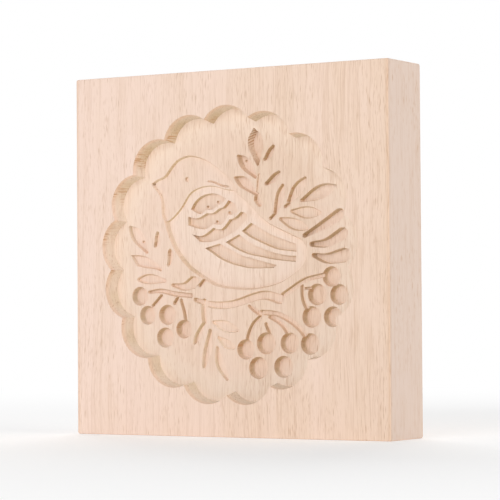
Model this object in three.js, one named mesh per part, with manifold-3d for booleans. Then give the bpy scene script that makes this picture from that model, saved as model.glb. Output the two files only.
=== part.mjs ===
// A carved wooden cookie mould: one thick square block of beech with a sunk, scalloped
// medallion. In the medallion a bird sits on a branch with leaves and berries. Everything is
// sunk below the face, so dough pressed in comes out with the picture standing up.
//
// Millimetres, +Z up. The block stands on its bottom edge with the carved face towards -Y, and
// the origin is the middle of the edge it stands on.

import * as THREE from 'three';
import { mergeVertices } from 'three/addons/utils/BufferGeometryUtils.js';
import Module from 'manifold-3d';

// The medallion and the block round it
const RING_RADIUS = 45.6;       // middle of the medallion to the points between its scallops
const SCALLOP_COUNT = 17;
const SCALLOP_RISE = 3.6;       // how far each scallop bulges past those points
const SCALLOP_TURN = 79.2;      // degrees from +X to the first point
const RING_DEPTH = 5.8;
const RING_DRAFT = 0.9;         // how far the ring's wall slopes in between face and floor
const RING_SHIFT = { x: -0.4, y: -0.8 };    // the medallion sits a little off the middle
const SIDE_MARGIN = 10.8;       // plain wood between the scallops and the edge of the block
const BLOCK_THICKNESS = 22;
const EDGE_ROUND = 0.6;

// Depths below the level that each cut starts from
const HEAD_DEPTH = 1.1;
const BODY_DEPTH = 1.8;
const PLUMAGE_DEPTH = 1.5;      // wing scales and long feathers, below the body
const COLLAR_DEPTH = 0.8;       // the thin groove at the shoulder, below the head
const TAIL_DEPTH = 2.4;
const BRANCH_DEPTH = 1.5;
const TRUNK_DEPTH = 1.7;
const STEM_DEPTH = 1.4;
const FAINT_STEM_DEPTH = 0.5;
const BERRY_DEPTH = 2.8;
const PIP_DEPTH = 0.9;          // the eye and the dots that a drill point leaves

// How far a wall slopes in between the mouth and the floor of its cut
const HEAD_DRAFT = 0.45;
const BODY_DRAFT = 0.72;
const FINE_DRAFT = 0.25;
const LEAF_DRAFT = 0.35;
const BERRY_DRAFT = 0.8;

// Widths of the tool's work
const TIP = 0.65;               // half the width that is left at the tip of a leaf
const STEM = 1;                 // half the width of a full stem
const FAINT_STEM = 0.5;
const COLLAR = 0.36;            // half the width of the groove at the shoulder
const EYE_RADIUS = 0.9;
const PIP_RADIUS = 0.55;

// A leaf is already this full, as a share of its middle, this far of the way from its tip
const SHOULDER_FULLNESS = 0.86;
const SHOULDER_PLACE = 0.42;

// How finely curves are cut into straight steps
const CURVE_STEP = 1.6;         // about the length of one step along a leaf, stem or outline
const CAP_STEPS = 4;
const SCALLOP_STEPS = 6;
const BERRY_STEPS = 11;
const PIP_STEPS = 4;
const BERRY_WALL_STEPS = 3;     // straight steps down a rounded wall
const EDGE_STEPS = 2;

// What keeps the cuts clean
const MOUTH_LIFT = 0.05;        // a cut starts this much above its level, so that faces never coincide
const HEADROOM = 1;             // a cutting body's extra height in the open air above its mouth
const WELD = 1e-5;              // points closer than this are one point

// The figure is drawn from the middle of the block's face, for a ring of this radius
const DRAWN_RING_RADIUS = 45.6;
const FIGURE_SCALE = RING_RADIUS / DRAWN_RING_RADIUS;

const BLOCK_SIDE = 2 * (RING_RADIUS + SCALLOP_RISE + SIDE_MARGIN);
const FACE = BLOCK_THICKNESS / 2;

// Each leaf: tip, middle, foot, half its width at the middle, its depth and any dot in its floor
const UPPER_SPRIG_LEAVES = [
  { tip: [7.2, 40.2], middle: [7.8, 35], foot: [8.5, 29], half: 2.9, depth: 3.2 },
  { tip: [14.4, 34.5], middle: [13.1, 32.2], foot: [11.2, 30.4], half: 1.35, depth: 1.8 },
  { tip: [16.5, 26], middle: [14.3, 23.9], foot: [11.6, 22.4], half: 1.35, depth: 2 },
  { tip: [1.1, 31.8], middle: [4.4, 28.6], foot: [7.5, 24.8], half: 2.1, depth: 2.6, dot: [2.6, 30.3] },
  { tip: [-0.1, 24.7], middle: [3.9, 22.6], foot: [7.5, 19.3], half: 2, depth: 2.3 },
];
const SIDE_SPRIG_LEAVES = [
  { tip: [17.9, 21.7], middle: [16.6, 17.2], foot: [14.9, 12.7], half: 1.7, depth: 1.5 },
  { tip: [26.3, 23.7], middle: [22.8, 19.5], foot: [20, 16.3], half: 2, depth: 1.6 },
  { tip: [37.3, 20.8], middle: [31, 18.8], foot: [25, 16.6], half: 2.3, depth: 2 },
  { tip: [31.8, 12.4], middle: [26, 12.7], foot: [21.2, 13.2], half: 2, depth: 1.1 },
  { tip: [26.8, 7.5], middle: [21.2, 9.3], foot: [16.9, 10.8], half: 1.9, depth: 1.4 },
];
const LEFT_SPRIG_LEAVES = [
  { tip: [-42, 9.6], middle: [-38.3, 5.6], foot: [-35.2, 1.1], half: 2.3, depth: 1.6, dot: [-37.6, 4.6] },
  { tip: [-30.9, 7.4], middle: [-30.9, 5], foot: [-31.9, 3], half: 1.2, depth: 1.4 },
  { tip: [-26, 1.5], middle: [-25.8, -1], foot: [-26.7, -3.4], half: 1.2, depth: 1.5 },
  { tip: [-38.7, -8.1], middle: [-33.6, -8], foot: [-28, -8.6], half: 1.75, depth: 1.3 },
];
const LOWER_SPRIG_LEAVES = [
  { tip: [-16.4, -29.4], middle: [-14.6, -26.3], foot: [-12.6, -22.6], half: 1.3, depth: 1.6 },
  { tip: [-12.9, -37.3], middle: [-11.2, -31.2], foot: [-10.3, -25.2], half: 1.6, depth: 1.6 },
  { tip: [-3.8, -41.3], middle: [-6.7, -35.6], foot: [-7.6, -31], half: 1.7, depth: 1.4 },
  { tip: [0.3, -25.2], middle: [-5.2, -23.7], foot: [-9.1, -22.5], half: 1.9, depth: 0.9 },
  { tip: [-1.2, -31], middle: [-4.1, -29.6], foot: [-7, -27.7], half: 1.6, depth: 0.9 },
];

const LEAVES = [...UPPER_SPRIG_LEAVES, ...SIDE_SPRIG_LEAVES, ...LEFT_SPRIG_LEAVES, ...LOWER_SPRIG_LEAVES];

// The one leaf with a cut-off end: its four sides, from the upper corner round, and its depth
const BLUNT_LEAF = {
  start: [-41.8, 0.2],
  sides: [
    [[-40.4, -2], [-39.2, -3.6]],
    [[-35.1, -4.4], [-31.8, -4.8], [-29.6, -5.6]],
    [[-29, -4.7]],
    [[-31.6, -2.6], [-34.6, -0.8], [-38, 0.1], [-41.8, 0.2]],
  ],
};
const BLUNT_LEAF_DEPTH = 1.3;

// Stems and the branch: x, y and the width at each station, where 1 is as wide as a full stem
const BRANCH = [
  [-16, -15.1, 0.8], [-11.4, -16.5, 1.1], [-5, -17, 1.3], [0, -16.3, 1.3], [6, -14.6, 1.4], [11, -13.8, 1.5],
  [16.4, -15.2, 1.7],
];
const TRUNK = [[-12.5, -15.8, 1.2], [-12.7, -19, 1.2], [-12.4, -22.2, 1.1]];
const CLAW = [[-25, -10.1, 0.6], [-20.4, -10.7, 1.4], [-16.8, -9.3, 2.2]];
const SPUR = [[-12.6, -8.9, 0.8], [-14.2, -10.4, 0.7]];
const UPPER_STEM = [[8.2, 18.9, 1], [8.3, 17.3, 1.4], [9.1, 16.1, 1.2]];
const FAINT_STEM_LINE = [[9, 25.6, 1], [8.6, 22.6, 1], [8.2, 19.6, 1]];
const STEMS = [
  [[13.1, 11, 0.6], [15, 12.4, 0.7]],
  [[18.7, 14.7, 0.6], [20.2, 15.6, 0.7]],
  [[-34.4, -12.4, 0.6], [-29.6, -12, 0.8], [-24, -13.1, 0.9], [-17.6, -13.7, 0.8]],
  [[-33, -17, 0.6], [-31.6, -15.8, 0.7], [-29.4, -13.7, 0.7]],
  [[-24.2, -16.2, 0.7], [-23, -14.6, 0.7]],
  [[-21.6, -15.2, 0.7], [-20.4, -18.8, 0.7], [-19.8, -21.8, 0.7]],
  [[4.8, -17.3, 0.6], [7, -18.8, 0.8], [9.4, -20.2, 0.8]],
  [[9, -21, 0.8], [6.5, -23.1, 0.8], [4.9, -25.9, 0.8], [4.1, -28.4, 0.8]],
  [[11.2, -23.2, 0.7], [12.6, -26, 0.8]],
  [[12.6, -20.9, 0.7], [14.9, -21.9, 0.8], [17.7, -23.9, 0.8], [19.6, -26.6, 0.8]],
  [[9.6, -19.4, 0.9], [15.4, -20, 0.9], [20.6, -22.3, 1], [24.2, -25.2, 0.9], [26.4, -27.8, 0.9]],
  [[17.7, -14, 1], [20.3, -12.3, 0.9], [23.3, -10.5, 0.9], [26.5, -8.9, 0.8], [33, -7.6, 0.8]],
  [[24.9, -11, 0.7], [25, -14.6, 0.7], [25.9, -17.2, 0.7], [27.4, -19.2, 0.7]],
  [[25.4, -11.8, 0.5], [29, -11.7, 0.5]],
];

// Berries: x, y and radius
const BERRIES = [
  [-38.1, -13.7, 3.2], [-35, -20.1, 3.2], [-27.1, -20, 3.4], [-28, -27.6, 3.4], [-20.5, -24.8, 3.15],
  [3.5, -31.5, 3.35], [11.3, -29.5, 3.6], [20.1, -29.4, 3.45], [27.8, -29.7, 3.5], [8.3, -37.5, 3.65],
  [17.8, -37.1, 3.6], [35.8, -8.1, 3.3], [30.5, -13.8, 3.5], [38.6, -13.9, 3.35], [36.2, -21, 3.35],
  [28.4, -21, 3.5],
];

// The bird: outlines as a first corner and the sides that follow it
const HEAD = {
  start: [-33.4, 23.7],
  sides: [
    [[-31.2, 25.2], [-29.2, 25.8], [-27.6, 26.7]],
    [[-25.9, 28.8], [-23.6, 31.1], [-21.5, 32.2], [-18.4, 32.9], [-15, 32.4], [-11, 30.9], [-6, 27.6], [-1.4, 23.4],
      [0.6, 20.6]],
    [[-10, 12], [-20, 8], [-28.1, 11.2]],
    [[-29.3, 14], [-29.2, 17], [-30.2, 20.2], [-33.4, 23.7]],
  ],
};
const BODY = {
  start: [-28.2, 11.2],
  sides: [
    [[-25.2, 13.3], [-22.3, 16.2], [-19.4, 20.2], [-16.9, 21.9], [-14, 22.8], [-11, 23.1], [-8, 22.7],
      [-4.6, 21.7], [-1.2, 21.3]],
    [[4.4, 16.6], [8.6, 12.6], [13, 9.5], [18.8, 6.9], [24.4, 4.4]],
    [[26.4, 1.8], [26.8, -1.2], [24.4, -5.2], [17, -9.9], [8, -11.9], [0, -11.9], [-6.7, -11], [-10.4, -9.6],
      [-15.8, -6.5], [-19.6, -3.8], [-23.8, 1], [-26.6, 6.4], [-28.2, 11.2]],
  ],
};
const COLLAR_LINE = [
  [-11.4, 24.1, 0.9], [-9.8, 23.9, 1], [-8.3, 23.4, 1], [-6.6, 22.7, 1], [-4.8, 22.2, 1], [-3.6, 22.1, 0.9],
];

// Long wing feathers, from the slanted end at the left to the tip at the right
const LONG_FEATHERS = [
  { start: [-13.3, 2], sides: [
    [[-10.6, 0.4], [-7.4, -1.6], [-3.6, -3.2], [0.6, -4.3], [5, -5], [13.2, -5]],
    [[14.4, -4.1]],
    [[8.8, -2.7], [4.6, -1.6], [0.9, -0.6], [-3.2, 1.4], [-7.5, 3.4]],
    [[-13.3, 2]],
  ] },
  { start: [-5.2, 3.8], sides: [
    [[-0.6, 1.2], [3.8, -0.4], [8.4, -1.3], [13.4, -2.3], [21.6, -3.2]],
    [[21.8, -1.2]],
    [[18.4, -1], [13.4, 0], [8.4, 1.7], [4.2, 3.4], [0.1, 6.3]],
    [[-5.2, 3.8]],
  ] },
  { start: [1.1, 7.3], sides: [
    [[4.6, 5.1], [8.4, 3.4], [12.5, 1.7], [15.9, 0.8], [21.9, 0.1]],
    [[21.7, 2.7]],
    [[17.1, 4.2], [12.9, 5.7], [9.3, 7.5], [4.7, 10]],
    [[1.1, 7.3]],
  ] },
];

// Tail feathers: x, y and half the width at each station
const TAIL_FEATHERS = [
  [[25.9, 5.2, 0.8], [32.7, 8.4, 1.5], [39, 11.9, 1.9]],
  [[28.6, 2.4, 0.9], [33.8, 2.7, 1.5], [40, 5.6, 2.1]],
  [[29.3, -1.2, 0.8], [34, -2.3, 1.7], [40.6, -1.3, 2.4]],
];

// Rows of wing scales: the smooth upper edge, then the lobes of the lower edge
const SCALE_ROWS = [
  { start: [-18.7, 15], sides: [
    [[-17.2, 17.4], [-15.3, 18.9], [-13, 19.8], [-10.1, 20.1], [-7.5, 19.5], [-4.9, 18.2]],
    [[-6.1, 16.9], [-8.2, 16]],
    [[-10.2, 14.7], [-12.6, 14.7]],
    [[-15.2, 13.3], [-18.7, 15]],
  ] },
  { start: [-19.8, 12.7], sides: [
    [[-16.3, 11.9], [-12.5, 13.6]],
    [[-10.1, 13.5], [-7.7, 15]],
    [[-5.9, 15.4], [-4, 17.6]],
    [[-1.3, 16.2], [-0.5, 14]],
    [[-2.1, 12.9], [-4.1, 12.7]],
    [[-6.5, 9.8], [-10, 9.9]],
    [[-13.5, 8.2], [-19.8, 9.7]],
    [[-19.8, 12.7]],
  ] },
  { start: [-18.3, 6.7], sides: [
    [[-14.3, 6.1], [-9.9, 8.7]],
    [[-6.7, 8.1], [-3.6, 11.3]],
    [[-1.7, 11.7], [0.8, 13.7]],
    [[3.2, 12.9], [3.2, 11.1]],
    [[0.5, 8.9], [-1.3, 7.4], [-6.4, 5.1], [-10.9, 4], [-15.2, 4.1]],
    [[-18.3, 6.7]],
  ] },
];

// Marks of the drill point: the eye, the corner of the beak and the dots of the wing
const EYE = [-19.7, 25];
const BEAK_DOT = [-32.6, 23.8];
const WING_DOTS = [[-8.9, 17.2], [-12.9, 15.7], [-4.5, 13.6], [-9.3, 10.7]];

const wasm = await Module();
wasm.setup();

// A closed three.js geometry as a solid that can be cut.
function toSolid(geometry) {
  const plain = geometry.index ? geometry.toNonIndexed() : geometry.clone();
  plain.deleteAttribute('normal');
  plain.deleteAttribute('uv');
  const merged = mergeVertices(plain, WELD);
  return new wasm.Manifold(new wasm.Mesh({
    numProp: 3,
    vertProperties: new Float32Array(merged.attributes.position.array),
    triVerts: new Uint32Array(merged.index.array),
  }));
}

// A solid as a three.js geometry with flat faces.
function toGeometry(solid) {
  const mesh = solid.getMesh();
  const indexed = new THREE.BufferGeometry();
  indexed.setAttribute('position', new THREE.BufferAttribute(mesh.vertProperties, 3));
  indexed.setIndex(new THREE.BufferAttribute(mesh.triVerts, 1));
  const geometry = indexed.toNonIndexed();
  geometry.computeVertexNormals();
  return geometry;
}

// A point of the drawing at the size of this ring.
function drawn([x, y]) {
  return new THREE.Vector2(x * FIGURE_SCALE, y * FIGURE_SCALE);
}

// A flat shape from a first corner and the curved or straight sides that follow it.
function outline({ start, sides }) {
  const points = [];
  let corner = drawn(start);
  for (const side of sides) {
    const curve = new THREE.SplineCurve([corner, ...side.map(drawn)]);
    const steps = side.length === 1 ? 1 : Math.ceil(curve.getLength() / CURVE_STEP);
    points.push(...curve.getSpacedPoints(steps).slice(0, -1));
    corner = drawn(side.at(-1));
  }
  return new THREE.Shape(points);
}

// A flat channel along a curve, with round ends, whose half width follows its stations.
function stroke(stations, fullWidth = 1) {
  const spine = new THREE.CatmullRomCurve3(
    stations.map(([x, y, width]) => new THREE.Vector3(x, y, width * fullWidth).multiplyScalar(FIGURE_SCALE)),
  );
  const steps = Math.max(2, Math.ceil(spine.getLength() / CURVE_STEP));
  const left = [];
  const right = [];
  for (let i = 0; i <= steps; i += 1) {
    const at = spine.getPointAt(i / steps);
    const along = spine.getTangentAt(i / steps);
    const heading = Math.atan2(along.y, along.x);
    left.push(rim(at, heading + Math.PI / 2));
    right.push(rim(at, heading - Math.PI / 2));
    if (i === 0) right.unshift(...cap(at, heading - Math.PI / 2).reverse());
    if (i === steps) left.push(...cap(at, heading + Math.PI / 2));
  }
  return new THREE.Shape([...left, ...right.reverse()]);
}

// The point on a channel's edge in one direction from a station of its spine.
function rim(at, direction) {
  return new THREE.Vector2(at.x + at.z * Math.cos(direction), at.y + at.z * Math.sin(direction));
}

// The points between the two edges round an end of a channel, turning clockwise.
function cap(at, from) {
  const points = [];
  for (let i = 1; i < CAP_STEPS; i += 1) points.push(rim(at, from - (i * Math.PI) / CAP_STEPS));
  return points;
}

// A leaf swells quickly behind its tip and narrows slowly to its foot.
function leaf({ tip, middle, foot, half }) {
  const shoulder = [0, 1].map((axis) => THREE.MathUtils.lerp(tip[axis], middle[axis], SHOULDER_PLACE));
  return stroke([[...tip, TIP], [...shoulder, half * SHOULDER_FULLNESS], [...middle, half], [...foot, TIP]]);
}

function disc([x, y], radius) {
  const shape = new THREE.Shape();
  const middle = drawn([x, y]);
  shape.absarc(middle.x, middle.y, radius, 0, 2 * Math.PI);
  return shape;
}

// The medallion's edge: one arc for each scallop, from point to point.
function scallopedRing() {
  const shape = new THREE.Shape();
  const pitch = (2 * Math.PI) / SCALLOP_COUNT;
  const halfChord = RING_RADIUS * Math.sin(pitch / 2);
  const bulge = RING_RADIUS + SCALLOP_RISE - RING_RADIUS * Math.cos(pitch / 2);
  const arcRadius = (halfChord ** 2 + bulge ** 2) / (2 * bulge);
  const arcMiddle = RING_RADIUS + SCALLOP_RISE - arcRadius;
  const sweep = Math.atan2(halfChord, arcRadius - bulge);
  for (let i = 0; i < SCALLOP_COUNT; i += 1) {
    const heading = THREE.MathUtils.degToRad(SCALLOP_TURN) + (i + 0.5) * pitch;
    const x = RING_SHIFT.x + arcMiddle * Math.cos(heading);
    const y = RING_SHIFT.y + arcMiddle * Math.sin(heading);
    shape.absarc(x, y, arcRadius, heading - sweep, heading + sweep);
  }
  return shape;
}

// A cutting body with sloped walls: the whole shape at the mouth, drawn in by draft at the floor.
function cutter(shape, { below, depth, draft, rounding = 1, steps = 1 }) {
  const geometry = new THREE.ExtrudeGeometry(shape, {
    depth: HEADROOM,
    bevelThickness: depth + MOUTH_LIFT,
    bevelSize: draft,
    bevelOffset: -draft,
    bevelSegments: rounding,
    curveSegments: steps,
  });
  geometry.translate(0, 0, FACE - below + MOUTH_LIFT);
  return toSolid(geometry);
}

function plainBlock() {
  const reach = BLOCK_SIDE / 2 - EDGE_ROUND;
  const square = new THREE.Shape();
  for (const corner of [0, 1, 2, 3]) {
    const heading = (corner * Math.PI) / 2;
    const x = reach * Math.sign(Math.cos(heading + Math.PI / 4));
    const y = reach * Math.sign(Math.sin(heading + Math.PI / 4));
    square.absarc(x, y, EDGE_ROUND, heading, heading + Math.PI / 2);
  }
  const geometry = new THREE.ExtrudeGeometry(square, {
    depth: BLOCK_THICKNESS - 2 * EDGE_ROUND,
    bevelThickness: EDGE_ROUND,
    bevelSize: EDGE_ROUND,
    bevelOffset: -EDGE_ROUND,
    bevelSegments: EDGE_STEPS,
    curveSegments: 1,
  });
  geometry.translate(0, 0, EDGE_ROUND - FACE);
  return toSolid(geometry);
}

function foliageCutters() {
  const cut = { below: RING_DEPTH, draft: LEAF_DRAFT };
  const stems = [CLAW, SPUR, UPPER_STEM, ...STEMS];
  return [
    ...LEAVES.map((each) => cutter(leaf(each), { ...cut, depth: each.depth })),
    cutter(outline(BLUNT_LEAF), { ...cut, depth: BLUNT_LEAF_DEPTH }),
    cutter(stroke(BRANCH, STEM), { ...cut, depth: BRANCH_DEPTH }),
    cutter(stroke(TRUNK, STEM), { ...cut, depth: TRUNK_DEPTH }),
    cutter(stroke(FAINT_STEM_LINE, FAINT_STEM), { ...cut, draft: FINE_DRAFT, depth: FAINT_STEM_DEPTH }),
    ...stems.map((stations) => cutter(stroke(stations, STEM), { ...cut, depth: STEM_DEPTH })),
  ];
}

function berryCutters() {
  const cut = {
    below: RING_DEPTH, depth: BERRY_DEPTH, draft: BERRY_DRAFT, rounding: BERRY_WALL_STEPS, steps: BERRY_STEPS,
  };
  return BERRIES.map(([x, y, radius]) => cutter(disc([x, y], radius * FIGURE_SCALE), cut));
}

function birdCutters() {
  const plumage = { below: RING_DEPTH + BODY_DEPTH, depth: PLUMAGE_DEPTH, draft: FINE_DRAFT };
  const tail = { below: RING_DEPTH, depth: TAIL_DEPTH, draft: LEAF_DRAFT };
  const collar = { below: RING_DEPTH + HEAD_DEPTH, depth: COLLAR_DEPTH, draft: FINE_DRAFT };
  return [
    cutter(outline(HEAD), { below: RING_DEPTH, depth: HEAD_DEPTH, draft: HEAD_DRAFT }),
    cutter(outline(BODY), { below: RING_DEPTH, depth: BODY_DEPTH, draft: BODY_DRAFT }),
    cutter(stroke(COLLAR_LINE, COLLAR), collar),
    ...LONG_FEATHERS.map((feather) => cutter(outline(feather), plumage)),
    ...SCALE_ROWS.map((row) => cutter(outline(row), plumage)),
    ...TAIL_FEATHERS.map((feather) => cutter(stroke(feather), tail)),
  ];
}

function pipCutters() {
  const pip = { depth: PIP_DEPTH, draft: FINE_DRAFT, steps: PIP_STEPS };
  const head = { ...pip, below: RING_DEPTH + HEAD_DEPTH };
  const wing = { ...pip, below: RING_DEPTH + BODY_DEPTH + PLUMAGE_DEPTH };
  const dotted = LEAVES.filter((each) => each.dot);
  return [
    cutter(disc(EYE, EYE_RADIUS * FIGURE_SCALE), head),
    cutter(disc(BEAK_DOT, PIP_RADIUS * FIGURE_SCALE), head),
    ...WING_DOTS.map((middle) => cutter(disc(middle, PIP_RADIUS * FIGURE_SCALE), wing)),
    ...dotted.map(({ dot, depth }) => (
      cutter(disc(dot, PIP_RADIUS * FIGURE_SCALE), { ...pip, below: RING_DEPTH + depth })
    )),
  ];
}

function carvedBlock() {
  const ring = { below: 0, depth: RING_DEPTH, draft: RING_DRAFT, steps: SCALLOP_STEPS };
  let block = plainBlock().subtract(cutter(scallopedRing(), ring));
  for (const cutting of [...foliageCutters(), ...berryCutters(), ...birdCutters(), ...pipCutters()]) {
    block = block.subtract(cutting);
  }
  const beech = new THREE.MeshStandardMaterial({ color: '#ecd2be', roughness: 0.72, metalness: 0 });
  const mesh = new THREE.Mesh(toGeometry(block), beech);
  mesh.name = 'carved_block';
  mesh.rotation.x = Math.PI / 2;
  mesh.position.z = BLOCK_SIDE / 2;
  return mesh;
}

const mould = new THREE.Group();
mould.add(carvedBlock());

export default mould;
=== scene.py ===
"""A carved beech cookie mould: its block with softened arrises and bare wood, in a plain studio."""

import math

import bmesh
import bpy
from bpy.props import FloatProperty, FloatVectorProperty, PointerProperty
from mathutils import Matrix, Vector


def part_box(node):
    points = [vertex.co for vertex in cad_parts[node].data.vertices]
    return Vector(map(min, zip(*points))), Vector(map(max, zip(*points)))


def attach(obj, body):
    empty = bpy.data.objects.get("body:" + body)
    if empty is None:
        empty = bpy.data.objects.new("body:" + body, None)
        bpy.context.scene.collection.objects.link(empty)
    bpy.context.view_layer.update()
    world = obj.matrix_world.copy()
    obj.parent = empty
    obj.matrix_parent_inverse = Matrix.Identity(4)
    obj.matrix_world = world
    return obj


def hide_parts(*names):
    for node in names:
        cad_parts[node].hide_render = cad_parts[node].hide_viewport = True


bl_info = {
    "name": "Carved Beech Cookie Mould",
    "version": (1, 0, 0),
    "blender": (4, 5, 0),
    "location": "View3D > Sidebar > Cookie Mould",
    "description": "Finishes a carved block of beech and sets it in a plain studio",
    "category": "Object",
}

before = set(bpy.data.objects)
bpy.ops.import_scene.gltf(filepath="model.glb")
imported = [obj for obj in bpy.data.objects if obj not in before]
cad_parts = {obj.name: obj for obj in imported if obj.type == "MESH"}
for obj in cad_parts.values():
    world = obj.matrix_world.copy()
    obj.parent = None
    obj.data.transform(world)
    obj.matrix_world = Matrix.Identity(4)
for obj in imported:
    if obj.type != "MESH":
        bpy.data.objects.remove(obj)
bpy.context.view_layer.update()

MM = 0.001
BLOCK_NODE = "carved_block"
BLOCK_LOW, BLOCK_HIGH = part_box(BLOCK_NODE)
BLOCK_WIDTH = (BLOCK_HIGH[0] - BLOCK_LOW[0]) / MM
BLOCK_HEIGHT = (BLOCK_HIGH[2] - BLOCK_LOW[2]) / MM
BLOCK_FRONT = BLOCK_LOW[1] / MM

# Every length from here to the settings is in millimetres. A pair of numbers, if nothing else is said,
# is where a mask starts and where it is full.

# The medallion: its middle in x and z, and how far out from there its ring's wall lies
MEDALLION = (-0.4, 59.2)
RING_REACH = (36.0, 45.0)

# Levels along Y, from the face in front towards the back
BELOW_FACE = (BLOCK_FRONT + 0.5, BLOCK_FRONT + 3)
FULL_SHADE_LEVEL = (BLOCK_FRONT, BLOCK_FRONT + 4)
MEDALLION_FLOOR = (-3.5, -4.4)
SMALL_CUTS = (-5.5, -4.0)
LOWER_CUTS = (-4.4, -3.4)
LOWEST_CUTS = (-2.8, -2.0)
BEFORE_UNCUT_WOOD = (0.8, -1.2)

# How far in from the block's outer edges the carved part begins and an arris ends
CARVED_FROM_EDGE = (0.7, 1.4)
ARRIS_ON_FACE = (1.6, 0.5)
ARRIS_ON_SIDE = (1.2, 0.4)

# How surfaces face, as the part of their direction along one axis
SIDE_GRAIN_FACING = (0.35, 0.8)
END_GRAIN_FACING = (0.3, 0.9)
WALL_FACING = (0.62, 0.3)
LEFT_FACING = (-0.15, -0.45)
DOWN_FACING = (0.1, -0.6)
NOT_STRAIGHT_DOWN = (-1, -0.75)
UP_FACING = (-0.15, 0.2)
NOT_STRAIGHT_UP = (0.8, 0.4)
SHELTERED_FACING = (0.8, 0.1)
AGAINST_THE_GRAIN = ((0.05, -0.2), (-0.85, -0.55), (0.3, 0.6))

# Heights on the face: where the painted shade on walls that face up grows darker,
# and where the painted shade on the ring's wall grows more even
DARKER_BELOW = (60, 45)
EVEN_BELOW = (98, 62)

# Where the cuts are open, painted lighter as if catching more light and given no painted shade: the middle's
# x and z, half the width and half the height of the lower sprig, the upper leaf and the two strokes before
# the breast, and how soft their edges are
LOWER_SPRIG = (-9.5, 32.0, 8.3, 12.5)
UPPER_LEAF = (7.0, 96.5, 4.0, 6.0)
FIRST_STROKE = (-30.6, 65.8, 1.6, 3.5)
SECOND_STROKE = (-26.4, 59.0, 1.4, 3.5)
SOFT_ACROSS, SOFT_ALONG = 0.8, 1.0

# The long feathers, where the small cuts' painted shade also falls on walls that face up: the slope of the
# line above them, its height, and their left and lower ends
FEATHER_SLOPE = 0.344
FEATHER_TOP = (67.4, 66.9)
FEATHER_LEFT = (-27, -20)
FEATHER_BOTTOM = (52.5, 54.5)

# The upper leaf's hatched tip: the heights where it begins, the room for one stroke, how far each stroke
# climbs for every millimetre deeper, how far it wanders, and how much of a wave is stroke
LEAF_TIP = (94.2, 96.2)
STROKE_SPACING = 0.95
STROKE_CLIMB = 0.36
STROKE_WANDER = 0.6
STROKE_SHAPE = (0.1, 0.8)

# Shares of the full shade of a wall: what walls facing straight down keep of it, what walls facing up
# take, what is left of it next to the face, and what the upper leaf's tip is spared
STRAIGHT_DOWN_SHADE, UPWARD_SHADE, OPEN_SHADE, TIP_RELIEF = 0.45, 0.45, 0.5, 0.8

# Torn grain in its lines, and torn grain with painted shade in rough places and all over a wall against the
# grain
TORN_LINES, ROUGH_GRAIN, LEAST_TORN_AND_SHADE = 0.85, 0.3, 0.1

# How strongly the flecks colour the wood, and how much of their colour the end grain takes
FLECK_STRENGTH, END_GRAIN_DARKNESS = 0.95, 0.2

# Where the heart of the tree was, in x and y, its lean, and how far its rings wander
HEART = (38.0, 62.0)
HEART_LEAN = 0.02
RING_WANDER = 5.0

# Points of the mesh closer than this are one point, and faces that turn less than this are one face
WELD = 0.002
FLAT_ANGLE = math.radians(0.6)

# How far the floor reaches, in metres
FLOOR_RADIUS = 6.0

# The lamps: name, place and size in metres, and the setting that holds its level
LAMPS = (
    ("key_softbox", (0.1, -2.1, 0.68), 1.3, "key_level"),
    ("side_softbox", (1.6, -0.1, 0.3), 0.7, "side_level"),
    ("back_softbox", (-1.1, 1.7, 1.5), 1.6, "back_level"),
)


# Settings that a user would change

class MouldCutSettings(bpy.types.PropertyGroup):
    """How the cut edges of the block are worked."""

    arris: FloatProperty(
        name="Arris", description="Width of the softened edge along every cut",
        default=0.00009, unit="LENGTH")
    arris_angle: FloatProperty(
        name="Arris angle", description="Edges that turn more than this are softened",
        default=math.radians(33), subtype="ANGLE")
    shortest_edge: FloatProperty(
        name="Shortest edge", description="Edges shorter than this are closed up first",
        default=0.0002, unit="LENGTH")
    smooth_angle: FloatProperty(
        name="Smooth angle", description="Faces that meet at less than this are shaded as one curve",
        default=math.radians(50), subtype="ANGLE")


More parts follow.
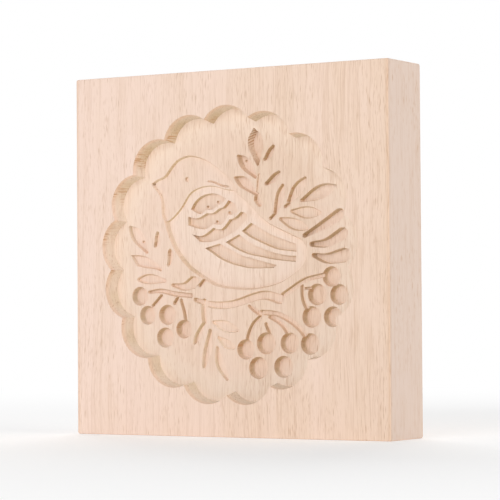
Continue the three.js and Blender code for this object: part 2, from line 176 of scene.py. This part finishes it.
class MouldWoodSettings(bpy.types.PropertyGroup):
    """The bare beech, with the painted shade and the painted light on its cuts."""

    rosy: FloatVectorProperty(
        name="Rosy wood", description="Colour of the wood at the left edge of the face",
        default=(0.971, 0.868, 0.806), subtype="COLOR_GAMMA", min=0, max=1)
    creamy: FloatVectorProperty(
        name="Creamy wood", description="Colour of the wood at the right edge of the face",
        default=(0.945, 0.84, 0.757), subtype="COLOR_GAMMA", min=0, max=1)
    fleck: FloatVectorProperty(
        name="Fleck", description="Colour of the short flecks of ray",
        default=(0.80, 0.652, 0.525), subtype="COLOR_GAMMA", min=0, max=1)
    cut_wall: FloatVectorProperty(
        name="Cut wall", description="What the cutter's walls keep of the wood's colour",
        default=(1.0, 1.0, 0.985), subtype="COLOR_GAMMA", min=0, max=1)
    # Painted shade: the colour that walls under overhangs take, facing down, and facing up low on the face
    overhang_shade: FloatVectorProperty(
        name="End-grain wall", description="What walls across the grain keep of the wall's colour",
        default=(0.915, 0.90, 0.825), subtype="COLOR_GAMMA", min=0, max=1)
    # Painted shade: the darkening of the small cuts' walls that do not face up, as if shaded in the narrow
    # cuts
    small_cut_shade: FloatVectorProperty(
        name="Small cut's wall", description="What the walls of the small cuts keep of the wall's colour",
        default=(0.93, 0.925, 0.885), subtype="COLOR_GAMMA", min=0, max=1)
    ring_wall: FloatVectorProperty(
        name="Ring's wall", description="What the ring's wall keeps of the wall's colour",
        default=(0.972, 0.98, 0.982), subtype="COLOR_GAMMA", min=0, max=1)
    # Painted light: the paler colour that stands in for light reaching deep into the cuts and next to the
    # ring's wall
    painted_light_wood: FloatVectorProperty(
        name="Fresh wood", description="Colour of the wood that the cuts have laid bare",
        default=(0.978, 0.902, 0.84), subtype="COLOR_GAMMA", min=0, max=1)
    cut_floor: FloatVectorProperty(
        name="Cut floor", description="What the floors of the cuts keep of the wood's colour",
        default=(0.984, 0.983, 0.973), subtype="COLOR_GAMMA", min=0, max=1)
    # Also the colour of the painted shade on walls that face down and to the right
    torn: FloatVectorProperty(
        name="Torn grain", description="Colour of the grain that the cutter has torn",
        default=(0.80, 0.64, 0.49), subtype="COLOR_GAMMA", min=0, max=1)
    # A darker, warmer tint along the block's upright arrises
    upright_arris_tint: FloatVectorProperty(
        name="Handled edge", description="What the block's upright arrises keep of the wood's colour",
        default=(0.978, 0.955, 0.93), subtype="COLOR_GAMMA", min=0, max=1)
    # Partly the side grain's own cooler colour, partly painted shade that keeps the sides darker than the
    # face
    side_grain_and_shade: FloatVectorProperty(
        name="Side face", description="What the block's sides keep of the wood's colour",
        default=(0.936, 0.951, 0.978), subtype="COLOR_GAMMA", min=0, max=1)
    ring_spacing: FloatProperty(
        name="Ring spacing", description="Width of one year's growth", default=0.0026, unit="LENGTH")
    fleck_width: FloatProperty(
        name="Fleck width", description="Room across the grain for one fleck", default=0.00045, unit="LENGTH")
    fleck_length: FloatProperty(
        name="Fleck length", description="Room along the grain for one fleck", default=0.0046, unit="LENGTH")
    roughness: FloatProperty(
        name="Roughness", description="Roughness of the sanded wood", default=0.62, subtype="FACTOR")


class MouldStudioSettings(bpy.types.PropertyGroup):
    """The floor, the lamps and the camera."""

    ambient: FloatProperty(
        name="Ambient", description="Strength of the even light from all round", default=0.39)
    key_level: FloatProperty(
        name="Key level", description="Share of the written colour that the key lamp brings out",
        default=0.357)
    side_level: FloatProperty(
        name="Side level", description="Share of the written colour that the side lamp brings out",
        default=0.33)
    back_level: FloatProperty(
        name="Back level", description="Share of the written colour that the lamp behind brings out",
        default=0.4)
    floor_shade: FloatVectorProperty(
        name="Floor", description="Colour of the floor", default=(0.93, 0.93, 0.93), subtype="COLOR_GAMMA")
    floor_lift: FloatProperty(
        name="Floor lift", description="Light that the floor gives back besides what falls on it",
        default=0.3)
    floor_reach: FloatProperty(
        name="Floor reach", description="Where the floor has run out into white", default=0.5, unit="LENGTH")
    azimuth: FloatProperty(
        name="Azimuth", description="How far the camera stands to the right of the face's middle",
        default=math.radians(31.44), subtype="ANGLE")
    elevation: FloatProperty(
        name="Elevation", description="Height of the camera above its target, as an angle",
        default=math.radians(-1.6), subtype="ANGLE")
    roll: FloatProperty(
        name="Roll", description="Turn of the camera about its own view", default=math.radians(-0.39),
        subtype="ANGLE")
    distance: FloatProperty(
        name="Distance", description="From the camera to its target", default=0.7691, unit="LENGTH")
    target: FloatVectorProperty(
        name="Target", description="The point that the camera looks at", default=(0.00216, 0, 0.06114),
        subtype="TRANSLATION", unit="LENGTH")
    focal_length: FloatProperty(
        name="Focal length", description="Focal length in millimetres on a 36 mm sensor", default=168.2)


# Materials

class Signal:
    """One output of a material's node, with Python's operators for sums on it."""

    def __init__(self, finish, socket):
        self.finish = finish
        self.socket = socket

    def output(self, name):
        """Another output of the same node."""
        return Signal(self.finish, self.socket.node.outputs[name])

    def math(self, operation, *others, clamp=False):
        values = dict(enumerate((self, *others)))
        return self.finish.add("ShaderNodeMath", values, operation=operation, use_clamp=clamp)

    def __add__(self, other):
        return self.math("ADD", other)

    __radd__ = __add__

    def __mul__(self, other):
        return self.math("MULTIPLY", other)

    __rmul__ = __mul__

    def __sub__(self, other):
        return self.math("SUBTRACT", other)

    def __rsub__(self, other):
        return (self * -1) + other

    def __truediv__(self, other):
        return self.math("DIVIDE", other)

    def __pow__(self, other):
        return self.math("POWER", other)

    def __abs__(self):
        return self.math("ABSOLUTE")


class Finish:
    """The nodes of one material, or of the world, under construction."""

    def __init__(self, owner):
        owner.use_nodes = True
        self.tree = owner.node_tree
        self.tree.nodes.clear()

    def add(self, kind, values=(), output=0, **settings):
        """A new node: its type, the values or links of its sockets, and its settings, set first."""
        node = self.tree.nodes.new(kind)
        for name, value in settings.items():
            setattr(node, name, value)
        for name, value in dict(values).items():
            if isinstance(value, Signal):
                self.tree.links.new(value.socket, node.inputs[name])
            else:
                node.inputs[name].default_value = value
        return Signal(self, node.outputs[output]) if node.outputs else node

    def ramp(self, value, start, end):
        """0 at start, 1 at end and smooth between them. start may be the larger one."""
        values = {"Value": value, "From Min": start, "From Max": end}
        return self.add("ShaderNodeMapRange", values, interpolation_type="SMOOTHSTEP")

    def mix(self, amount, first, second, blend="MIX"):
        """Two colours mixed by amount."""
        values = {0: amount, 6: first, 7: second}
        return self.add("ShaderNodeMix", values, output=2, data_type="RGBA", blend_type=blend)

    def stretched(self, place, x, y, z):
        """Coordinates in which one unit is x, y and z millimetres of the object."""
        scale = (1 / (x * MM), 1 / (y * MM), 1 / (z * MM))
        return self.add("ShaderNodeMapping", {"Vector": place, "Scale": scale}, vector_type="POINT")

    def noise(self, place, detail=2.0, roughness=0.5):
        values = {"Vector": place, "Scale": 1.0, "Detail": detail, "Roughness": roughness}
        return self.add("ShaderNodeTexNoise", values, noise_dimensions="3D")


def linear(colour):
    """A colour as seen on screen, as the light values that a shader takes."""
    def channel(value):
        return value / 12.92 if value <= 0.04045 else ((value + 0.055) / 1.055) ** 2.4
    return (*(channel(value) for value in colour), 1.0)


def at_least(mask, least):
    """A mask that falls to least and no further."""
    return mask * (1 - least) + least


def growth_rings(finish, x, y, z, wander, spacing):
    """Where in its year each point of the wood grew: 0 in spring, 1 at the end of summer."""
    across, deep = x - HEART[0], y - HEART[1]
    radius = (across * across + deep * deep) ** 0.5 + z * HEART_LEAN + wander * RING_WANDER
    return (radius / (spacing / MM)).math("FRACT")


def flecks(finish, place, width, depth, length, least):
    """Short lenses of ray: 1 in the middle of a fleck and 0 between them. More of them as least falls."""
    cells = finish.add(
        "ShaderNodeTexVoronoi",
        {"Vector": finish.stretched(place, width, depth, length), "Scale": 1.0, "Randomness": 1.0},
        feature="F1")
    chance = finish.add("ShaderNodeSeparateColor", {"Color": cells.output("Color")})
    return finish.ramp(cells.output("Distance"), 0.42, 0.1) * finish.ramp(chance.output("Red"), least, 1.0)


def near(finish, x, z, area):
    """1 inside an area of the face, given by its middle, half its width and half its height."""
    middle_x, middle_z, half_width, half_height = area
    across = finish.ramp(abs(x - middle_x), half_width + SOFT_ACROSS, half_width - SOFT_ACROSS)
    along = finish.ramp(abs(z - middle_z), half_height + SOFT_ALONG, half_height - SOFT_ALONG)
    return across * along


class Carving:
    """Where each point of the block lies in its carving, and how it faces there, as masks from 0 to 1."""

    # How much painted light lifts the small cuts, how much less the lowest, and how much the ring near its
    # wall
    FRESH_IN_CUTS, LESS_IN_LOWEST, FRESH_IN_RING = 0.35, 0.2, 0.8
    # How far the shading of the ring's wall is evened out
    EVENING = 0.8

    def __init__(self, finish):
        self.finish = finish
        coordinates = finish.add("ShaderNodeTexCoord")
        self.place = coordinates.output("Object")
        at = finish.add("ShaderNodeSeparateXYZ", {"Vector": finish.stretched(self.place, 1, 1, 1)})
        self.x, self.y, self.z = at.output("X"), at.output("Y"), at.output("Z")
        facing = finish.add("ShaderNodeSeparateXYZ", {"Vector": coordinates.output("Normal")})
        self.face_x, self.face_z = facing.output("X"), facing.output("Z")

        carved = self.in_from_edges(CARVED_FROM_EDGE) * finish.ramp(self.y, *BEFORE_UNCUT_WOOD)
        self.outer = 1 - carved
        self.side_grain = finish.ramp(abs(self.face_x), *SIDE_GRAIN_FACING) * self.outer
        self.end_grain = finish.ramp(abs(self.face_z), *END_GRAIN_FACING) * self.outer
        self.wall = finish.ramp(facing.output("Y") * -1, *WALL_FACING) * carved
        self.place_cuts(carved)

    def in_from_edges(self, margins):
        """1 on the part of the face that lies in from all four edges of the block."""
        start, full = margins
        across, along = BLOCK_WIDTH / 2, BLOCK_HEIGHT / 2
        return (
            self.finish.ramp(abs(self.x), across - start, across - full)
            * self.finish.ramp(abs(self.z - along), along - start, along - full)
        )

    def place_cuts(self, carved):
        """The ring, the small cuts, the open ones among them, the floors and the painted light that lifts cut
        floors and walls.
        """
        ramp, x, y, z = self.finish.ramp, self.x, self.y, self.z
        off_x, off_z = x - MEDALLION[0], z - MEDALLION[1]
        reach = (off_x * off_x + off_z * off_z) ** 0.5
        below_face = ramp(y, *BELOW_FACE)
        lowest = ramp(y, *LOWEST_CUTS)
        self.by_ring = ramp(reach, *RING_REACH) * below_face
        self.even_ring = 1 - self.by_ring * ramp(z, *EVEN_BELOW) * self.EVENING
        self.small_cut = ramp(y, *SMALL_CUTS)

        self.sprig, self.leaf = near(self.finish, x, z, LOWER_SPRIG), near(self.finish, x, z, UPPER_LEAF)
        self.leaf_tip = self.leaf * ramp(z, *LEAF_TIP)
        strokes = near(self.finish, x, z, FIRST_STROKE) + near(self.finish, x, z, SECOND_STROKE)
        self.exposed = self.sprig.math("MAXIMUM", self.leaf).math("MAXIMUM", strokes)

        # Painted light: paler deeper in the cuts, near the ring's wall and on the open cuts' walls
        deep = ramp(y, *LOWER_CUTS) * (self.FRESH_IN_CUTS - lowest * self.LESS_IN_LOWEST)
        bare = deep.math("MAXIMUM", self.by_ring * self.FRESH_IN_RING)
        self.bare = bare.math("MAXIMUM", self.exposed * self.wall) * carved
        self.cut_floor = (ramp(y, *MEDALLION_FLOOR) * below_face + lowest) * carved * (1 - self.wall)

    def upright_arris(self):
        """1 along the four upright edges of the block."""
        half_width, half_depth = BLOCK_WIDTH / 2, abs(BLOCK_FRONT)
        on_face = self.finish.ramp(
            abs(self.x), half_width - ARRIS_ON_FACE[0], half_width - ARRIS_ON_FACE[1])
        on_side = self.finish.ramp(
            abs(self.y), half_depth - ARRIS_ON_SIDE[0], half_depth - ARRIS_ON_SIDE[1])
        return on_face * on_side


class Grain:
    """The figure of the wood: its tone, fibres and flecks of ray, before any colour."""

    # How far the fibres lean over, in metres, and how much the wide bands and clouds shift the tone
    LEANING, BANDS, CLOUDS = 0.004, 1.1, 0.7
    # How crisp the fibres are in rosy wood, and how much crisper in creamy wood
    CRISP, CRISPER = 0.95, 0.8
    # How late in the year the dark wood comes, how dark it is, and how dark the long streaks are
    LATENESS, YEARS, STREAKS = 5.0, 0.14, 0.4
    # The level of the fibres' noise above which the wood is dark
    FIBRE_LEVEL = 0.48
    # How much the coarse and fine flecks count, and how much of them stays where they are rare
    COARSE, FINE, RARE = 0.75, 0.5, 0.35
    # How dark flecks are in dull wood, and how much darker they get as it gets crisper
    DULL_FLECK, CRISP_FLECK = 0.32, 0.6

    def __init__(self, finish, carving, settings):
        x, y, z, place = carving.x, carving.y, carving.z, carving.place
        lean = finish.noise(finish.stretched(place, 12, 12, 30), detail=1.0)
        leaning = finish.add("ShaderNodeCombineXYZ", {0: lean * self.LEANING})
        bent = finish.add("ShaderNodeVectorMath", {0: place, 1: leaning}, operation="ADD")

        band = finish.noise(finish.stretched(place, 7, 30, 260), detail=1.0)
        cloud = finish.noise(finish.stretched(place, 11, 11, 16), detail=1.0)
        self.tone = (x / BLOCK_WIDTH + 0.5) + (band - 0.5) * self.BANDS + (cloud - 0.5) * self.CLOUDS
        creaminess = finish.ramp(self.tone, 0.3, 1.0) * (1 - carving.side_grain)
        crispness = creaminess * self.CRISPER + self.CRISP

        wander = finish.noise(finish.stretched(place, 38, 38, 90), detail=1.0) - 0.5
        year = growth_rings(finish, x, y, z, wander, settings.ring_spacing)
        streak = finish.noise(finish.stretched(bent, 1.6, 3, 60), detail=1.0)
        self.fibre = finish.noise(finish.stretched(bent, 0.36, 0.8, 13), detail=2.0, roughness=0.65)
        late = (year ** self.LATENESS) * self.YEARS
        self.summer = late + (self.fibre - self.FIBRE_LEVEL) * crispness + (streak - 0.5) * self.STREAKS

        width, length = settings.fleck_width / MM, settings.fleck_length / MM
        coarse = flecks(finish, bent, width, width * 3, length, 0.35)
        fine = flecks(finish, bent, width * 0.7, width * 2, length * 0.6, 0.15)
        crowd = finish.ramp(finish.noise(finish.stretched(place, 9, 20, 40), detail=1.0), 0.32, 0.6)
        flecked = (coarse * self.COARSE + fine * self.FINE) * at_least(crowd, self.RARE)
        self.speckle = flecked * (crispness * self.CRISP_FLECK + self.DULL_FLECK)


def sanded_wood(finish, carving, grain, settings):
    """The wood's colour wherever it is flat."""
    fleck = linear(settings.fleck)
    tone = grain.tone.math("MULTIPLY", 1.0, clamp=True)
    wood = finish.mix(tone, linear(settings.rosy), linear(settings.creamy))
    # The sides: their own cooler grain, and painted shade
    wood = finish.mix(carving.side_grain, wood, linear(settings.side_grain_and_shade), blend="MULTIPLY")
    # Painted light in the cuts
    wood = finish.mix(carving.bare, wood, linear(settings.painted_light_wood))
    wood = finish.mix(carving.cut_floor, wood, linear(settings.cut_floor), blend="MULTIPLY")
    wood = finish.mix(grain.summer.math("ADD", 0.0, clamp=True), wood, fleck)
    wood = finish.mix(grain.speckle.math("MULTIPLY", FLECK_STRENGTH, clamp=True), wood, fleck)
    wood = finish.mix(carving.end_grain * END_GRAIN_DARKNESS, wood, fleck)
    # The upright arrises a little darker and warmer
    return finish.mix(carving.upright_arris(), wood, linear(settings.upright_arris_tint), blend="MULTIPLY")


def cut_walls(finish, carving, wood, settings):
    """That colour on the walls of the cuts, darkened with painted shade by how they face and how small the
    cut is.
    """
    ramp, x, y, z, face_z = finish.ramp, carving.x, carving.y, carving.z, carving.face_z
    # Painted shade under overhangs: walls facing down are darkened, and so are walls facing up low on the
    # face, less so next to the face and at the upper leaf's tip; walls facing left are left out
    not_left = 1 - ramp(carving.face_x, *LEFT_FACING)
    downward = ramp(face_z, *DOWN_FACING) * at_least(ramp(face_z, *NOT_STRAIGHT_DOWN), STRAIGHT_DOWN_SHADE)
    upward = ramp(face_z, *UP_FACING) * ramp(face_z, *NOT_STRAIGHT_UP) * ramp(z, *DARKER_BELOW)
    shaded = downward * carving.even_ring + upward * UPWARD_SHADE
    overhang = shaded * at_least(ramp(y, *FULL_SHADE_LEVEL), OPEN_SHADE)
    overhang = overhang * not_left * (1 - carving.leaf_tip * TIP_RELIEF)
    # Painted shade in the small cuts: walls that do not face up, and every wall under the long feathers, are
    # darkened, but not in the open cuts
    feathered = (
        ramp(z - x * FEATHER_SLOPE, *FEATHER_TOP) * ramp(x, *FEATHER_LEFT) * ramp(z, *FEATHER_BOTTOM)
    )
    sheltered = ramp(face_z, *SHELTERED_FACING).math("MAXIMUM", feathered) * (1 - carving.exposed)

    wall = carving.wall
    # The last two shares are painted shade: under overhangs and in the small cuts
    shares = (
        (wall, settings.cut_wall),
        (wall * carving.by_ring, settings.ring_wall),
        (wall * overhang, settings.overhang_shade),
        (wall * carving.small_cut * (sheltered * not_left), settings.small_cut_shade),
    )
    for amount, colour in shares:
        wood = finish.mix(amount, wood, linear(colour), blend="MULTIPLY")
    return wood


def torn_grain_and_shade(finish, carving):
    """Where the cutter met the grain and tore it, with painted shade over walls that face down and to the
    right, and where it left strokes in the upper leaf's tip.
    """
    ramp, place = finish.ramp, carving.place
    down, not_straight_down, right = AGAINST_THE_GRAIN
    against = ramp(carving.face_z, *down) * ramp(carving.face_z, *not_straight_down)
    against = against * ramp(carving.face_x, *right)
    against = against * (1 - carving.sprig) * (1 - carving.leaf) * carving.even_ring
    crossed = finish.noise(finish.stretched(place, 12, 12, 0.75), detail=2.0, roughness=0.7)
    lines = ramp(finish.noise(finish.stretched(place, 6, 6, 0.42), detail=1.0), 0.48, 0.6)
    patches = ramp(finish.noise(finish.stretched(place, 7, 7, 5), detail=1.0), 0.38, 0.52)
    # Over the whole of these walls the tint is partly torn grain and partly painted shade, darkest where they
    # face down and to the right
    rough = ramp(crossed, 0.5, 0.75) * ROUGH_GRAIN + LEAST_TORN_AND_SHADE
    scraped = lines * against * patches * TORN_LINES + against * rough

    along_tip = carving.z - carving.y * STROKE_CLIMB + crossed * STROKE_WANDER
    wave = (along_tip * (math.tau / STROKE_SPACING)).math("SINE")
    return scraped.math("MAXIMUM", ramp(wave, *STROKE_SHAPE) * carving.leaf_tip) * carving.wall


def bare_beech(settings):
    """Bare sanded beech, with the grain along Z and its rays along Y."""
    material = bpy.data.materials.new("bare_beech")
    finish = Finish(material)
    carving = Carving(finish)
    grain = Grain(finish, carving, settings)
    wood = sanded_wood(finish, carving, grain, settings)
    # Painted shade on the walls of the cuts
    wood = cut_walls(finish, carving, wood, settings)
    tear_and_shade = torn_grain_and_shade(finish, carving)
    # Torn grain, and painted shade on walls that face down and to the right
    wood = finish.mix(tear_and_shade, wood, linear(settings.torn))

    rough = settings.roughness + carving.wall * 0.12 - grain.speckle * 0.08
    height = grain.fibre * 0.5 - grain.speckle * 0.35 - tear_and_shade * 2.0
    bump = finish.add("ShaderNodeBump", {"Height": height, "Strength": 0.35, "Distance": 0.06 * MM})
    surface = finish.add("ShaderNodeBsdfPrincipled", {
        "Base Color": wood, "Roughness": rough, "Normal": bump, "IOR": 1.5, "Specular IOR Level": 0.35,
    })
    finish.add("ShaderNodeOutputMaterial", {"Surface": surface})
    return material


def seen_directly(finish):
    """1 for rays that show the studio itself, from the camera, off gloss or through glass."""
    ray = finish.add("ShaderNodeLightPath")
    seen = ray.output("Is Camera Ray").math("MAXIMUM", ray.output("Is Glossy Ray"))
    return seen.math("MAXIMUM", ray.output("Is Transmission Ray"))


def pale_floor(settings):
    """A pale floor that keeps the object's shadow and is seen to run out into plain white."""
    material = bpy.data.materials.new("pale_floor")
    finish = Finish(material)
    place = finish.add("ShaderNodeTexCoord").output("Object")
    away = finish.add("ShaderNodeVectorMath", {0: place}, output="Value", operation="LENGTH")
    seen = seen_directly(finish)
    shade = finish.add("ShaderNodeBsdfDiffuse", {"Color": linear(settings.floor_shade)})
    lift = finish.add("ShaderNodeEmission", {"Strength": settings.floor_lift})
    close = finish.add("ShaderNodeAddShader", {0: shade, 1: lift})
    far = finish.add("ShaderNodeEmission", {"Strength": 1.0})
    fade = finish.ramp(away, settings.floor_reach * 0.3, settings.floor_reach) * seen
    surface = finish.add("ShaderNodeMixShader", {0: fade, 1: close, 2: far})
    finish.add("ShaderNodeOutputMaterial", {"Surface": surface})
    return material


# Pieces

def new_piece(name, bm, material):
    """A mesh object at the origin, from a bmesh that is then freed."""
    mesh = bpy.data.meshes.new(name)
    bm.to_mesh(mesh)
    bm.free()
    mesh.materials.append(material)
    piece = bpy.data.objects.new(name, mesh)
    bpy.context.scene.collection.objects.link(piece)
    return piece


def softened_copy(node, settings):
    """The CAD block, merged, cleared of stub edges and with every arris softened."""
    bm = bmesh.new()
    bm.from_mesh(node.data)
    bmesh.ops.remove_doubles(bm, verts=bm.verts, dist=WELD * MM)
    stubs = [edge for edge in bm.edges if edge.calc_length() < settings.shortest_edge]
    bmesh.ops.collapse(bm, edges=stubs, uvs=False)
    bmesh.ops.dissolve_limit(bm, angle_limit=FLAT_ANGLE, verts=bm.verts, edges=bm.edges)
    arrises = [edge for edge in bm.edges if edge.calc_face_angle(0) > settings.arris_angle]
    bmesh.ops.bevel(
        bm, geom=arrises, offset=settings.arris, offset_type="OFFSET", affect="EDGES", segments=2,
        profile=0.5, material=-1, clamp_overlap=True)
    return bm


def shade_as_curves(piece, settings):
    """Smooth shading over curved walls, with flat faces kept flat."""
    piece.data.shade_smooth()
    piece.data.set_sharp_from_angle(angle=settings.smooth_angle)
    weighted = piece.modifiers.new("flat_faces_first", "WEIGHTED_NORMAL")
    weighted.mode = "FACE_AREA"
    weighted.weight = 100
    weighted.keep_sharp = True


class MOULD_OT_block(bpy.types.Operator):
    """Make the carved block of bare beech"""

    bl_idname = "mould.block"
    bl_label = "Carved block"

    def execute(self, context):
        cut = context.scene.mould_cut
        material = bare_beech(context.scene.mould_wood)
        block = new_piece("beech_block", softened_copy(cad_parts[BLOCK_NODE], cut), material)
        shade_as_curves(block, cut)
        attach(block, "root")
        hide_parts(BLOCK_NODE)
        return {"FINISHED"}


def add_softbox(name, place, aim, size, level):
    """A square lamp at place, facing aim, that lights a facing surface there to that level."""
    lamp = bpy.data.lights.new(name, "AREA")
    lamp.shape = "SQUARE"
    lamp.size = size
    reach = (Vector(place) - Vector(aim)).length
    lamp.energy = level * math.pi ** 2 * reach ** 2
    light = bpy.data.objects.new(name, lamp)
    light.location = place
    light.rotation_euler = (Vector(place) - Vector(aim)).to_track_quat("Z", "Y").to_euler()
    bpy.context.scene.collection.objects.link(light)
    return light


def add_world(settings):
    """White where it is seen, and an even, weaker light on everything else."""
    world = bpy.data.worlds.new("studio_air")
    bpy.context.scene.world = world
    finish = Finish(world)
    strength = settings.ambient + seen_directly(finish) * (1 - settings.ambient)
    air = finish.add("ShaderNodeBackground", {"Color": (1, 1, 1, 1), "Strength": strength})
    finish.add("ShaderNodeOutputWorld", {"Surface": air})


def add_camera(settings):
    """The camera at the photograph's viewing angle."""
    away, high, roll = settings.azimuth, settings.elevation, settings.roll
    back = Vector((math.sin(away) * math.cos(high), -math.cos(away) * math.cos(high), math.sin(high)))
    right = Vector((math.cos(away), math.sin(away), 0))
    up = back.cross(right)
    turned_right = right * math.cos(roll) + up * math.sin(roll)
    turned_up = up * math.cos(roll) - right * math.sin(roll)
    place = Vector(settings.target) + back * settings.distance
    camera = bpy.data.cameras.new("camera")
    camera.lens = settings.focal_length
    camera.sensor_width = 36
    camera.clip_start = 0.01
    eye = bpy.data.objects.new("camera", camera)
    eye.matrix_world = Matrix((turned_right, turned_up, back)).transposed().to_4x4()
    eye.location = place
    bpy.context.scene.collection.objects.link(eye)
    bpy.context.scene.camera = eye


def add_floor(settings):
    bm = bmesh.new()
    bmesh.ops.create_circle(bm, cap_ends=True, segments=64, radius=FLOOR_RADIUS)
    floor = new_piece("floor", bm, pale_floor(settings))


class MOULD_OT_studio(bpy.types.Operator):
    """Set the floor, the lamps and the camera"""

    bl_idname = "mould.studio"
    bl_label = "Studio"

    def execute(self, context):
        settings = context.scene.mould_studio
        scene = context.scene
        scene.view_settings.view_transform = "Standard"
        add_camera(settings)
        add_world(settings)
        add_floor(settings)
        middle = (0, 0, BLOCK_HEIGHT / 2 * MM)
        for name, place, size, level in LAMPS:
            add_softbox(name, place, middle, size, getattr(settings, level))
        return {"FINISHED"}


class MOULD_PT_panel(bpy.types.Panel):
    """The mould's pieces and settings"""

    bl_label = "Cookie Mould"
    bl_idname = "MOULD_PT_panel"
    bl_space_type = "VIEW_3D"
    bl_region_type = "UI"
    bl_category = "Cookie Mould"

    def draw(self, context):
        layout = self.layout
        for operator in (MOULD_OT_studio, MOULD_OT_block):
            layout.operator(operator.bl_idname)
        for name in SETTINGS:
            group = getattr(context.scene, name)
            box = layout.box()
            for key in group.__annotations__:
                box.prop(group, key)


SETTINGS = {
    "mould_cut": MouldCutSettings,
    "mould_wood": MouldWoodSettings,
    "mould_studio": MouldStudioSettings,
}
CLASSES = (*SETTINGS.values(), MOULD_OT_studio, MOULD_OT_block, MOULD_PT_panel)


def register():
    for new_class in CLASSES:
        bpy.utils.register_class(new_class)
    for name, group in SETTINGS.items():
        setattr(bpy.types.Scene, name, PointerProperty(type=group))


def unregister():
    for name in SETTINGS:
        delattr(bpy.types.Scene, name)
    for old_class in reversed(CLASSES):
        bpy.utils.unregister_class(old_class)


def main():
    register()
    bpy.ops.mould.studio()
    bpy.ops.mould.block()


if __name__ == "__main__":
    main()
